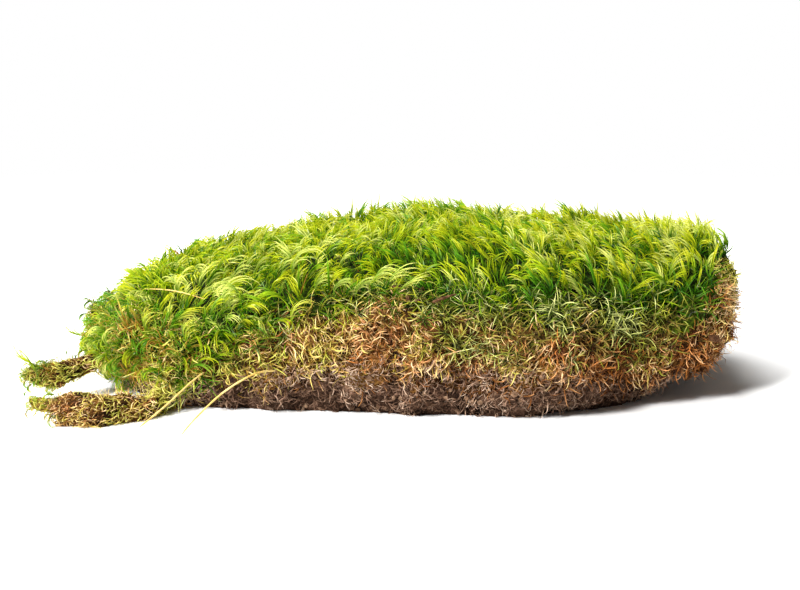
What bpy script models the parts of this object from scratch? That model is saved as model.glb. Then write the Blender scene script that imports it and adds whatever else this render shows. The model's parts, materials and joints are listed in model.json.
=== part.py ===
"""A loose clump of cushion moss, lifted from the ground and standing on its felted underside.

Three layers grew on top of each other: a dark mat of rhizoids and soil, a brown layer of old stems,
and the crown of living shoots, whose tufts lean over towards -X. Two torn strands trail from the left
end and two dry straws hang out of the old stems. The front of the clump faces -Y, its length lies
along X, and the origin is the middle of the flat patch that it stands on.
"""

import math
import random

import bpy
import numpy as np
from mathutils import Vector, noise
from mathutils.bvhtree import BVHTree

MM = 0.001
FULL_TURN = 2 * math.pi

# Driving dimensions of the clump
HALF_LENGTH = 85 * MM
HALF_DEPTH = 55 * MM
CROWN_HEIGHT = 40 * MM
CROWN_SUMMIT = 18 * MM
LEFT_END_HEIGHT = 26 * MM
RIGHT_END_HEIGHT = 37 * MM
LAYER_GAP = 0.35 * MM

# Where its side is widest, and how much of its plan the flat foot takes, away from and at the right end
WIDEST_HEIGHT = 14 * MM
RIGHT_WIDEST_HEIGHT = 25 * MM
FOOT_SHARE = 0.70
RIGHT_FOOT_SHARE = 0.58
OUTLINE_SQUARENESS = 2.5

# Heights at which one layer gives way to the next, round the side of the clump and in its middle
MAT_HEIGHT = 7 * MM
MAT_MIDDLE = 8.5 * MM
STEM_HEIGHT = 18 * MM
STEM_MIDDLE = 25 * MM

# The top of the brown stems round the side, in degrees and mm: it stands high in the middle of the
# front and at the torn right end, and the green hangs low over the left end
STEM_TOPS = (
    (0, 30),
    (25, 23),
    (60, 20),
    (90, 21),
    (120, 19),
    (150, 14),
    (180, 12),
    (207, 11),
    (222, 13),
    (236, 23),
    (258, 26.5),
    (281, 26.5),
    (303, 22),
    (321, 19),
    (343, 22),
)

# Tufts of the living crown, ridges of the old stems, and lumps of the mat
CROWN_SPACING = 3.4 * MM
TUFT_LENGTH = 6.5 * MM
TUFT_LEAN = 0.5
STEM_SPACING = 3.6 * MM
STEM_RIDGE = 2.2 * MM
MAT_SPACING = 4.4 * MM
MAT_LUMP = 2 * MM

# Rings across the inside of the clump where two layers meet, as shares of the way out to its side
INTERFACE_SHARES = (1.0, 0.8, 0.55, 0.28)
INTERFACE_POINTS = 100

# A knob of old stems that stands out of the torn right end
KNOB = Vector((84, -14, 27)) * MM
KNOB_REACH = 4 * MM
KNOB_SIZE = 9 * MM

STRAW_RADIUS = 0.5 * MM
STRAND_FIN = 0.62


def clear_scene():
    for obj in list(bpy.data.objects):
        bpy.data.objects.remove(obj)


def material(name, colour, roughness):
    made = bpy.data.materials.new(name)
    made.use_nodes = True
    shader = made.node_tree.nodes["Principled BSDF"]
    shader.inputs["Base Color"].default_value = (*colour, 1)
    shader.inputs["Roughness"].default_value = roughness
    shader.inputs["Metallic"].default_value = 0
    return made


def lumps(point, wavelength, height):
    """Smooth unevenness up to about that height, the same at the same place every time."""
    return height * noise.noise(Vector(point) / wavelength)


def round_the_plan(angle, bends, shift, height):
    """Unevenness that changes with the angle alone: bends sets how often, shift which pattern."""
    return lumps((bends * math.cos(angle), bends * math.sin(angle), shift), 1.0, height)


# --- the outer form of the whole clump -----------------------------------------------------------


def right_end(angle):
    """1 at the torn right end of the clump, falling to 0 on its front and back."""
    return max(0.0, math.cos(angle)) ** 5


def plan_radius(angle):
    """Distance from the middle to the widest point of the clump, seen from above."""
    across = abs(math.cos(angle)) / HALF_LENGTH
    deep = abs(math.sin(angle)) / (HALF_DEPTH * (1 + 0.10 * math.cos(angle)))
    squareness = OUTLINE_SQUARENESS
    radius = (across**squareness + deep**squareness) ** (-1 / squareness)
    return radius + round_the_plan(angle, 2.2, 3.1, 6.5 * MM) + round_the_plan(angle, 6, 8.2, 2.5 * MM)


def crown_top(x, y):
    """Height of the crown over a place in the plan: it falls to the left and ends blunt at the right."""
    from_summit = x - CROWN_SUMMIT
    if from_summit > 0:
        end_height = RIGHT_END_HEIGHT
        fall = (from_summit / (HALF_LENGTH - CROWN_SUMMIT)) ** 1.5
    else:
        end_height = LEFT_END_HEIGHT
        fall = (-from_summit / (HALF_LENGTH + CROWN_SUMMIT)) ** 1.6
    height = CROWN_HEIGHT + (end_height - CROWN_HEIGHT) * fall
    return height + lumps((x, y, 0.0), 24 * MM, 2.6 * MM)


def section(angle):
    """The clump's outer profile at one angle, from the rim of its foot to the middle of its top."""
    widest = plan_radius(angle)
    right = right_end(angle)
    widest_height = WIDEST_HEIGHT + (RIGHT_WIDEST_HEIGHT - WIDEST_HEIGHT) * right
    foot = FOOT_SHARE + (RIGHT_FOOT_SHARE - FOOT_SHARE) * right + round_the_plan(angle, 3.2, 5.4, 0.12)
    steps = 28
    profile = []
    for step in range(steps):
        turn = (1 - step / steps) * math.pi / 2
        radius = widest * (foot + (1 - foot) * math.cos(turn) ** (0.8 + 0.2 * right))
        profile.append((radius, widest_height * (1 - math.sin(turn))))
    for step in range(steps + 1):
        turn = step / steps * math.pi / 2
        radius = widest * max(0.0, math.cos(turn)) ** (0.5 - 0.12 * right)
        top = crown_top(radius * math.cos(angle), radius * math.sin(angle))
        profile.append((radius, widest_height + (top - widest_height) * math.sin(turn) ** (0.9 - 0.25 * right)))
    return np.array(profile)


def along_section(angle, low, high, share):
    """A point of the outer form. Share 0 lies at height low on the side, share 1 at high, or at the
    middle of the top where high is None."""
    profile = section(angle)
    steps = np.hypot(*np.diff(profile, axis=0).T)
    travelled = np.concatenate([[0], np.cumsum(steps)])

    def where_it_reaches(height):
        above = max(1, int(np.argmax(profile[:, 1] >= height)))
        return np.interp(height, profile[above - 1 : above + 1, 1], travelled[above - 1 : above + 1])

    start = where_it_reaches(low)
    end = travelled[-1] if high is None else where_it_reaches(high)
    place = start + (end - start) * share
    radius = np.interp(place, travelled, profile[:, 0])
    height = np.interp(place, travelled, profile[:, 1])
    side = Vector((math.cos(angle), math.sin(angle), 0))
    point = side * radius + Vector((0, 0, height))
    off_the_foot = min(1.0, height / (3 * MM)) * min(1.0, radius / (20 * MM))
    hummocks = lumps(point, 15 * MM, 1.8 * MM) + right_end(angle) * lumps(point, 9 * MM, 4.5 * MM)
    knob = KNOB_REACH * math.exp(-(((point - KNOB).length / KNOB_SIZE) ** 2))
    return point + side * (hummocks + knob) * off_the_foot


def stem_top(angle):
    """Height round the side at which brown stems give way to green shoots."""
    turns, heights = zip(*STEM_TOPS)
    height = np.interp(math.degrees(angle), turns, heights, period=360) * MM
    return height + round_the_plan(angle, 4.5, 7.7, 2 * MM) * (1 - right_end(angle))


def mat_top(angle):
    """Height round the side at which the felted mat gives way to brown stems."""
    return MAT_HEIGHT + round_the_plan(angle, 4, 1.3, 2.4 * MM)


def outward(point):
    """Rough outward direction of the clump's surface at a point."""
    rise = max(0.0, point.z - WIDEST_HEIGHT) / (CROWN_HEIGHT - WIDEST_HEIGHT)
    flat = Vector((point.x / HALF_LENGTH**2, point.y / HALF_DEPTH**2, 0)) * HALF_DEPTH
    return (flat * (1.15 - rise) + Vector((0, 0, 0.25 + rise))).normalized()


def comb(point):
    """The way the shoots lean: to the left over most of the clump, and forwards at its left end."""
    swirl = lumps(point, 30 * MM, 1.0)
    left_end = max(0.0, -point.x / HALF_LENGTH - 0.35)
    return Vector((-0.8 + 1.3 * left_end, 0.5 * swirl - 0.6 * left_end, 0.15))


# --- closed skins made of rings ------------------------------------------------------------------


class Skin:
    """A closed surface built from rings of points that lie inside or above one another."""

    def __init__(self):
        self.points = []
        self.faces = []

    def ring(self, places):
        """Adds a ring from a list of (angle, point), in order of angle."""
        first = len(self.points)
        self.points += [point for _, point in places]
        return [(angle, first + i) for i, (angle, _) in enumerate(places)]

    def zip_rings(self, lower, upper):
        """Triangles between two rings, whose numbers of points may differ."""
        lower = lower + [(lower[0][0] + FULL_TURN, lower[0][1])]
        upper = upper + [(upper[0][0] + FULL_TURN, upper[0][1])]
        i = j = 0
        while i + 1 < len(lower) or j + 1 < len(upper):
            lower_next = i + 1 < len(lower) and (j + 1 == len(upper) or lower[i + 1][0] <= upper[j + 1][0])
            if lower_next:
                self.faces.append((lower[i][1], lower[i + 1][1], upper[j][1]))
                i += 1
            else:
                self.faces.append((lower[i][1], upper[j + 1][1], upper[j][1]))
                j += 1

    def stack(self, rings):
        for lower, upper in zip(rings, rings[1:]):
            self.zip_rings(lower, upper)

    def close(self, ring, point, upwards):
        """A fan from a ring to one point."""
        centre = len(self.points)
        self.points.append(point)
        for (_, a), (_, b) in zip(ring, ring[1:] + ring[:1]):
            self.faces.append((a, b, centre) if upwards else (b, a, centre))

    def made_into(self, name, finish):
        mesh = bpy.data.meshes.new(name)
        mesh.from_pydata([tuple(point) for point in self.points], [], self.faces)
        mesh.materials.append(finish)
        made = bpy.data.objects.new(name, mesh)
        bpy.context.scene.collection.objects.link(made)
        return made


def angles(count, shift=0.0):
    return [(i + shift) / count * FULL_TURN for i in range(count)]


def interface(skin, edge_height, middle_height, offset):
    """Rings across the inside of the clump, from its side inwards, where two layers meet."""
    rings = []
    for share in INTERFACE_SHARES:
        places = []
        for angle in angles(max(10, round(INTERFACE_POINTS * share))):
            edge = along_section(angle, edge_height(angle), None, 0.0)
            height = middle_height + (edge.z - middle_height) * share**2 + offset
            places.append((angle, Vector((edge.x * share, edge.y * share, height))))
        rings.append(skin.ring(places))
    return rings


def lower_interface(skin, edge_height, middle_height):
    """The underside of a layer, half a gap above the surface where two layers meet."""
    rings = interface(skin, edge_height, middle_height, LAYER_GAP / 2)
    skin.stack(rings[::-1])
    skin.close(rings[-1], Vector((0, 0, middle_height + LAYER_GAP / 2)), upwards=False)
    return rings[0]


def upper_interface(skin, edge_height, middle_height):
    """The top of a layer, half a gap below the surface where two layers meet."""
    rings = interface(skin, edge_height, middle_height, -LAYER_GAP / 2)
    skin.stack(rings)
    skin.close(rings[-1], Vector((0, 0, middle_height - LAYER_GAP / 2)), upwards=True)
    return rings[0]


# --- the three layers ----------------------------------------------------------------------------


def tuft_tip(point, chance):
    """The end of a tuft that stands on a point of the crown."""
    clumped = 1 + lumps(point, 12 * MM, 0.6)
    growth = (outward(point) + comb(point) * TUFT_LEAN).normalized()
    return point + growth * TUFT_LENGTH * clumped * chance.uniform(0.6, 1.05)


def shoot_crown(finish):
    """The living shoots: a domed skin whose every fourth point is drawn out into a tuft."""
    chance = random.Random(11)
    skin = Skin()
    edge = lower_interface(skin, stem_top, STEM_MIDDLE)
    rows = round((HALF_LENGTH * 0.9 + CROWN_HEIGHT - STEM_HEIGHT) / CROWN_SPACING)
    rings = [edge]
    for row in range(1, rows):
        halfway = along_section(math.pi / 4, STEM_HEIGHT, None, row / rows)
        around = FULL_TURN * math.hypot(halfway.x, halfway.y)
        count = max(6, 2 * round(around / CROWN_SPACING / 2))
        places = []
        for i, angle in enumerate(angles(count, 0.5 * (row // 2 % 2))):
            angle += chance.uniform(-0.25, 0.25) * FULL_TURN / count
            point = along_section(angle, stem_top(angle), None, row / rows)
            if row % 2 == 1 and i % 2 == 0:
                point = tuft_tip(point, chance)
            else:
                point = point - outward(point) * chance.uniform(0.0, 1.2) * MM * min(1, row / 3)
            places.append((angle, point))
        rings.append(skin.ring(places))
    skin.stack(rings)
    skin.close(rings[-1], Vector((0, 0, crown_top(0, 0) + TUFT_LENGTH / 2)), upwards=True)
    return skin.made_into("shoot_crown", finish)


def stem_layer(finish):
    """The old brown stems: a band whose side bristles with short broken ends."""
    chance = random.Random(5)
    skin = Skin()
    rings = [lower_interface(skin, mat_top, MAT_MIDDLE)]
    rows = 6
    count = 2 * round(math.pi * (HALF_LENGTH + HALF_DEPTH) / STEM_SPACING / 2)
    for row in range(1, rows):
        places = []
        for i, angle in enumerate(angles(count, 0.5 * row)):
            point = along_section(angle, mat_top(angle), stem_top(angle), row / rows)
            if (i + row // 2) % 2 == 0:
                side = outward(point)
                broken_end = Vector((side.x, side.y, -0.3)).normalized()
                torn = (1 + 0.8 * right_end(angle)) * (1 if row < rows - 1 else 0.5)
                point = point + broken_end * STEM_RIDGE * torn * chance.uniform(0.4, 1.2)
            places.append((angle, point))
        rings.append(skin.ring(places))
    skin.stack(rings)
    skin.zip_rings(rings[-1], upper_interface(skin, stem_top, STEM_MIDDLE))
    return skin.made_into("stem_layer", finish)


def rhizoid_mat(finish):
    """The felted underside: a flat foot in the middle, lumpy where it curves up to its edge."""
    chance = random.Random(8)
    skin = Skin()
    rings = [skin.ring([(angle, along_section(angle, 0, None, 0.0)) for angle in angles(64)])]
    skin.close(rings[0], Vector((0, 0, 0)), upwards=False)
    rows = 5
    count = round(math.pi * (HALF_LENGTH + HALF_DEPTH) / MAT_SPACING)
    for row in range(1, rows):
        places = []
        for angle in angles(count, 0.5 * row):
            point = along_section(angle, 0, mat_top(angle), row / rows)
            side = Vector((point.x, point.y, 0)).normalized()
            places.append((angle, point + side * MAT_LUMP * chance.uniform(0.0, 1.0) * min(1, row / 2)))
        rings.append(skin.ring(places))
    skin.stack(rings)
    skin.zip_rings(rings[-1], upper_interface(skin, mat_top, MAT_MIDDLE))
    return skin.made_into("rhizoid_mat", finish)


# --- strands and straws that come out of the layers ----------------------------------------------


def root_on(layer, angle, height):
    """The place on a layer's side, seen from outside at that angle and height, just clear of it."""
    mesh = layer.data
    tree = BVHTree.FromPolygons([v.co for v in mesh.vertices], [p.vertices for p in mesh.polygons])
    side = Vector((math.cos(angle), math.sin(angle), 0))
    start = side * 2 * HALF_LENGTH + Vector((0, 0, height))
    return tree.ray_cast(start, -side)[0] + side * 1.2 * LAYER_GAP


def smooth_route(points, steps):
    """Points along a Catmull-Rom curve through the given ones."""
    padded = [2 * points[0] - points[1], *points, 2 * points[-1] - points[-2]]
    route = []
    for a, b, c, d in zip(padded, padded[1:], padded[2:], padded[3:]):
        for step in range(steps):
            t = step / steps
            turn = (2 * b) + (c - a) * t + (2 * a - 5 * b + 4 * c - d) * t**2
            route.append((turn + (3 * b - a - 3 * c + d) * t**3) / 2)
    return route + [points[-1]]


def swept(name, finish, route, radius_at, sides, fin=1.0):
    """A closed tapering body along a route. Every other side is drawn in to fin times the radius."""
    points = [route[0]]
    faces = []
    for i, place in enumerate(route[1:-1], 1):
        ahead = (route[i + 1] - route[i - 1]).normalized()
        across = ahead.cross(Vector((0, 0, 1))).normalized()
        up = across.cross(ahead)
        radius = radius_at(i / (len(route) - 1))
        for side in range(sides):
            turn = (side + 0.5 * (i % 2)) / sides * FULL_TURN
            around = across * math.cos(turn) + up * math.sin(turn)
            reach = radius * (fin if side % 2 else 1.0)
            if fin < 1:
                reach *= 1 + lumps(place + around * radius, 5 * MM, 0.7)
            spot = place + around * reach
            spot.z = max(spot.z, LAYER_GAP)
            points.append(spot)
    points.append(route[-1])
    rows = len(route) - 2
    for side in range(sides):
        other = (side + 1) % sides
        faces.append((0, 1 + side, 1 + other))
        for row in range(rows - 1):
            here = 1 + row * sides
            there = here + sides
            faces.append((here + side, there + side, there + other))
            faces.append((here + side, there + other, here + other))
        last = 1 + (rows - 1) * sides
        faces.append((last + side, len(points) - 1, last + other))
    mesh = bpy.data.meshes.new(name)
    mesh.from_pydata([tuple(point) for point in points], [], faces)
    mesh.materials.append(finish)
    made = bpy.data.objects.new(name, mesh)
    bpy.context.scene.collection.objects.link(made)
    return made


def torn_strand(name, finish, layer, angle, height, reach, thickness):
    """A bundle of old stems torn loose at the left end, which lies on the ground and tapers to a tip."""
    root = root_on(layer, angle, height)
    points = [root] + [Vector(place) * MM for place in reach]
    route = smooth_route(points, 4)

    def radius_at(share):
        return thickness * (0.12 + 0.88 * math.sin(math.pi * share) ** 0.8)

    return swept(name, finish, route, radius_at, sides=10, fin=STRAND_FIN)


def dry_straw(name, finish, layer, angle, height, reach):
    """A thin stiff straw that comes out of the old stems and ends on the ground."""
    points = [root_on(layer, angle, height)] + [Vector(place) * MM for place in reach]
    return swept(name, finish, smooth_route(points, 5), lambda share: STRAW_RADIUS, sides=6)


def build():
    clear_scene()
    green = material("living_moss", (0.22, 0.36, 0.03), 0.7)
    brown = material("old_stems", (0.33, 0.18, 0.07), 0.85)
    dark = material("rhizoid_felt", (0.10, 0.06, 0.04), 0.95)
    straw = material("dry_straw", (0.62, 0.46, 0.20), 0.7)
    shoot_crown(green)
    stems = stem_layer(brown)
    mat = rhizoid_mat(dark)
    torn_strand(
        "torn_strand_lower",
        brown,
        mat,
        math.radians(217),
        4 * MM,
        [(-60, -49, 3.6), (-67, -56, 4.4), (-75, -59, 4.8), (-83, -58, 5.0), (-90, -54, 6.5)],
        4.8 * MM,
    )
    torn_strand(
        "torn_strand_upper",
        brown,
        stems,
        math.radians(201),
        9 * MM,
        [(-82, -34, 8.0), (-86, -37, 7.0), (-90, -38, 7.5), (-93, -37, 10.0)],
        3.4 * MM,
    )
    dry_straw(
        "dry_straw_left",
        straw,
        stems,
        math.radians(226),
        11 * MM,
        [(-50, -53, 9), (-55, -59, 5), (-61, -66, 0.9)],
    )
    dry_straw(
        "dry_straw_middle",
        straw,
        stems,
        math.radians(241),
        12 * MM,
        [(-34, -58, 12.5), (-41, -62, 9), (-47, -67, 4), (-50, -71, 0.9)],
    )


build()
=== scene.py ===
import functools
import json
import math
import random

import bmesh
import bpy
import numpy as np
from mathutils import Matrix, Quaternion, Vector, noise
from mathutils.bvhtree import BVHTree
from mathutils.kdtree import KDTree

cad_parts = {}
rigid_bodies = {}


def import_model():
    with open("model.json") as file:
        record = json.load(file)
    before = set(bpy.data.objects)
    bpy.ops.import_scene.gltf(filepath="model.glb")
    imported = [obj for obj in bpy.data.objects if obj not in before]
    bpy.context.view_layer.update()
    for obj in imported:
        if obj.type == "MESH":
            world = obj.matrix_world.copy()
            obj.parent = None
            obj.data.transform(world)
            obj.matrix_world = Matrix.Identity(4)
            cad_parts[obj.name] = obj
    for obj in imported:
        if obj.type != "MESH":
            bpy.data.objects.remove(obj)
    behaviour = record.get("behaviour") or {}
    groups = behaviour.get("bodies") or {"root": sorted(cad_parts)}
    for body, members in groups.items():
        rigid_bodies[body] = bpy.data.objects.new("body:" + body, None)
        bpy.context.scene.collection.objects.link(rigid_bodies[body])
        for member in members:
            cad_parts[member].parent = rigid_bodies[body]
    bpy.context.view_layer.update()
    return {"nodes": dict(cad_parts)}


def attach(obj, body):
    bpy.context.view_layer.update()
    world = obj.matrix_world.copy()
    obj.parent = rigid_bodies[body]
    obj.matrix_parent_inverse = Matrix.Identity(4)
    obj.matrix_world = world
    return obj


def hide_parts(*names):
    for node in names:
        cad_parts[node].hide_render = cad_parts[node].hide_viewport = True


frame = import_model()

mm = 0.001
viewRise = math.radians(10)  # how far from above the clump is looked at
goldenTurn = math.radians(137.5)
workshop = bpy.data.collections.new("workshop")  # models that are scattered, removed at the end
bpy.context.scene.collection.children.link(workshop)

# the leaves' UV map: across it runs the shade of a leaf, up it the way to its tip
paletteMap = "OFBake"
palette = {"leafWidth": 0.015, "foot": 0.02, "height": 0.96, "darkest": 0.01, "lightest": 0.97}


def linear(hexColour):
    channels = [int(hexColour[i : i + 2], 16) / 255 for i in (1, 3, 5)]
    return (*[c / 12.92 if c <= 0.04045 else ((c + 0.055) / 1.055) ** 2.4 for c in channels], 1)


def addNode(tree, kind, inputs=None, **settings):
    # a value goes into the socket's default, and another node or its socket is linked to it
    node = tree.nodes.new(kind)
    for name, value in settings.items():
        setattr(node, name, value)
    for key, value in (inputs or {}).items():
        socket = node.inputs[key]
        if isinstance(key, str):
            socket = next(s for s in node.inputs if s.name == key and s.enabled)
        if isinstance(value, bpy.types.Node):
            value = next(s for s in value.outputs if s.enabled)
        if isinstance(value, bpy.types.NodeSocket):
            tree.links.new(value, socket)
        else:
            socket.default_value = value
    return node


def setRamp(node, stops):
    elements = node.color_ramp.elements
    while len(elements) < len(stops):
        elements.new(0.5)
    for element, (place, colour) in zip(elements, stops):
        element.position = place
        element.color = linear(colour)
    return node


def addObject(name, data):
    made = bpy.data.objects.new(name, data)
    bpy.context.scene.collection.objects.link(made)
    return made


def smoothPiece(name, mesh, material):
    mesh.name = name
    mesh.materials.clear()
    mesh.materials.append(material)
    mesh.polygons.foreach_set("use_smooth", [True] * len(mesh.polygons))
    return addObject(name, mesh)


def evaluatedMesh(piece):
    return bpy.data.meshes.new_from_object(piece.evaluated_get(bpy.context.evaluated_depsgraph_get()))


# Materials

def emptyMaterial(name):
    material = bpy.data.materials.new(name)
    material.use_nodes = True
    material.node_tree.nodes.clear()
    return material, functools.partial(addNode, material.node_tree)


def leafMaterial(name, settings):
    # every leaf takes its colour from its place on the palette map alone
    material, add = emptyMaterial(name)
    place = add("ShaderNodeUVMap", uv_map=paletteMap)
    split = add("ShaderNodeSeparateXYZ", {"Vector": place})
    # along each leaf the colour runs from its base colours to its tip colours: partly the leaf's own colour,
    # partly painted shade at the base and painted highlight at the tip
    base, tip = [
        setRamp(add("ShaderNodeValToRGB", {"Fac": split.outputs[0]}), settings[end])
        for end in ("baseColours", "tipColours")
    ]
    rise = add(
        "ShaderNodeMapRange",
        {"Value": split.outputs[1], "From Min": settings["tipFrom"], "From Max": settings["tipTo"]},
        interpolation_type="SMOOTHSTEP",
    )
    along = add("ShaderNodeMix", {"Factor": rise, 6: base, 7: tip}, data_type="RGBA")
    mottle = add("ShaderNodeTexNoise", {"Vector": place, "Scale": settings["mottleScale"], "Detail": 2.0})
    brightness = {"To Min": 1 - settings["mottle"], "To Max": 1 + settings["mottle"]}
    mottle = add("ShaderNodeMapRange", {"Value": mottle, "From Min": 0.3, "From Max": 0.7, **brightness})
    colour = add("ShaderNodeVectorMath", {0: along, 3: mottle}, operation="SCALE")
    gloss = {"Roughness": settings["roughness"], "IOR": 1.45, "Specular IOR Level": settings["specular"]}
    body = add("ShaderNodeBsdfPrincipled", {"Base Color": colour, **gloss})
    through = add("ShaderNodeBsdfTranslucent", {"Color": colour})
    mixed = add("ShaderNodeMixShader", {0: settings["translucency"], 1: body, 2: through})
    add("ShaderNodeOutputMaterial", {"Surface": mixed})
    return material


def groundMaterial(name, settings):
    # matted plant matter seen between the leaves: blotches, fine fibre and a rough relief
    material, add = emptyMaterial(name)
    place = add("ShaderNodeTexCoord").outputs["Object"]
    coarse = {"Scale": 1 / settings["blotchSize"], "Detail": 3.0, "Roughness": 0.6}
    fine = {"Scale": 1 / settings["fibreSize"], "Detail": 4.0, "Roughness": 0.7, "Distortion": 1.5}
    blotch, fibre = [add("ShaderNodeTexNoise", {"Vector": place, **size}) for size in (coarse, fine)]
    both = add("ShaderNodeMath", {0: blotch, 1: fibre}, operation="ADD")
    share = add("ShaderNodeMapRange", {"Value": both, "From Min": 0.6, "From Max": 1.4})
    colour = setRamp(add("ShaderNodeValToRGB", {"Fac": share}), settings["colours"])
    relief = add("ShaderNodeBump", {"Height": fibre, "Strength": 0.7, "Distance": settings["relief"]})
    gloss = {"Roughness": settings["roughness"], "Specular IOR Level": 0.05}
    surface = add("ShaderNodeBsdfPrincipled", {"Base Color": colour, "Normal": relief, **gloss})
    add("ShaderNodeOutputMaterial", {"Surface": surface})
    return material


# living broom-moss leaf: one cell thick, so light passes through it, with a satin skin on the rib
livingLeaf = leafMaterial(
    "living moss leaf",
    {
        "baseColours": [(0, "#865812"), (0.1, "#6E6C10"), (0.25, "#184000"), (0.6, "#205800"), (1, "#568600")],
        "tipColours": [
            (0, "#D49048"), (0.1, "#CCBC48"), (0.2, "#4E8C1C"), (0.38, "#70A81C"),
            # the palest stops are partly a painted highlight, reached by the pale hooks of the claws and a few
            # top shoots
            (0.55, "#A4C022"), (0.7, "#C4CC18"), (0.9, "#D8D42C"), (1, "#E9EC84"),
        ],
        "tipFrom": 0.2, "tipTo": 0.9, "mottleScale": 30.0, "mottle": 0.15, "roughness": 0.35, "specular": 0.22,
        "translucency": 0.45,
    },
)

# shaded moss leaf: an older leaf low on the side, dull olive and darkened with painted shade, with a pale tip
# that is partly dry and partly a painted highlight
shadedLeaf = leafMaterial(
    "shaded moss leaf",
    {
        "baseColours": [(0, "#241A02"), (0.4, "#1E1E00"), (0.7, "#1A2600"), (1, "#2A3C00")],
        "tipColours": [(0, "#B4904C"), (0.4, "#A09C38"), (0.7, "#B4B840"), (1, "#ECEE98")],
        "tipFrom": 0.25, "tipTo": 0.92, "mottleScale": 30.0, "mottle": 0.2, "roughness": 0.45, "specular": 0.2,
        "translucency": 0.2,
    },
)

# dead moss leaf: dry, curled and brittle, tan where the cells have emptied and rust-brown below; its dark base
# is partly painted shade and its palest tips partly painted highlight
deadLeaf = leafMaterial(
    "dead moss leaf",
    {
        "baseColours": [(0, "#3E1A02"), (0.25, "#6E4012"), (0.5, "#7C501C"), (0.75, "#967A26"), (1, "#7C7A18")],
        "tipColours": [(0, "#B86C22"), (0.25, "#F4B070"), (0.5, "#FFE0AC"), (0.75, "#F4D878"), (1, "#D8D864")],
        "tipFrom": 0.15, "tipTo": 0.8, "mottleScale": 24.0, "mottle": 0.2, "roughness": 0.6, "specular": 0.25,
        "translucency": 0.15,
    },
)

# rhizoid thread: a matt brown wool that binds the stems to the soil
rhizoidThread = leafMaterial(
    "rhizoid thread",
    {
        "baseColours": [(0, "#24160A"), (0.5, "#5E4432"), (1, "#A08468")],
        "tipColours": [(0, "#5A4030"), (0.5, "#B08C74"), (1, "#F4DCC4")],
        "tipFrom": 0.0, "tipTo": 1.0, "mottleScale": 24.0, "mottle": 0.2, "roughness": 0.85, "specular": 0.15,
        "translucency": 0.05,
    },
)

# humus crumb: dark, crumbly soil caught in the wool, with no shine at all
humusCrumb = leafMaterial(
    "humus crumb",
    {
        "baseColours": [(0, "#1A100A"), (0.5, "#402C20"), (1, "#745844")],
        "tipColours": [(0, "#281A10"), (0.5, "#5A4030"), (1, "#A08468")],
        "tipFrom": 0.0, "tipTo": 1.0, "mottleScale": 60.0, "mottle": 0.3, "roughness": 0.95, "specular": 0.1,
        "translucency": 0.0,
    },
)

shadedGreen = groundMaterial(
    "shaded moss stems",  # the depth of the green crown, where little light comes
    {
        "blotchSize": 7 * mm, "fibreSize": 1.1 * mm,
        "colours": [(0.3, "#080C01"), (0.5, "#162204"), (0.62, "#2A3C06"), (0.75, "#4C5C12")],
        "relief": 0.5 * mm, "roughness": 0.85,
    },
)
# the darkest blotches of the matted stems, in the gaps between them, are painted shade
mattedStems = groundMaterial(
    "matted old stems",  # dead stems pressed together, rust-brown with darker gaps
    {
        "blotchSize": 6 * mm, "fibreSize": 0.8 * mm,
        "colours": [(0.3, "#140A04"), (0.5, "#3A240E"), (0.65, "#5E3E1A"), (0.8, "#7E5C30")],
        "relief": 0.6 * mm, "roughness": 0.9,
    },
)
rhizoidFelt = groundMaterial(
    "rhizoid felt",  # wool of rhizoids full of humus, matt and crumbly
    {
        "blotchSize": 5 * mm, "fibreSize": 0.6 * mm,
        "colours": [(0.3, "#120A06"), (0.5, "#3A281E"), (0.65, "#5C4334"), (0.8, "#846654")],
        "relief": 0.5 * mm, "roughness": 0.95,
    },
)
dryStraw = groundMaterial(
    "dry grass straw",  # bleached stalk with a waxy skin: pale, smooth, with brown weather spots
    {
        "blotchSize": 4 * mm, "fibreSize": 0.5 * mm,
        "colours": [(0, "#7A5C26"), (0.35, "#B8984E"), (1, "#DCC88C")],
        "relief": 0.04 * mm, "roughness": 0.5,
    },
)
weatheredBark = groundMaterial(
    "weathered bark",  # grey-brown twig skin and bark flakes, dry and cracked
    {
        "blotchSize": 1.5 * mm, "fibreSize": 0.4 * mm,
        "colours": [(0, "#1A0E08"), (0.5, "#4E3422"), (1, "#94704E")],
        "relief": 0.3 * mm, "roughness": 0.85,
    },
)


# Leaves and shoots

placeLabels = ("along", "across", "leafShade")  # what each point of a leaf brings to the palette map


def paint(mesh, values):
    for label, data in values.items():
        kind, field = ("FLOAT_VECTOR", "vector") if np.ndim(data) == 2 else ("FLOAT", "value")
        mesh.attributes.new(label, kind, "POINT").data.foreach_set(field, np.ravel(data))


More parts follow.
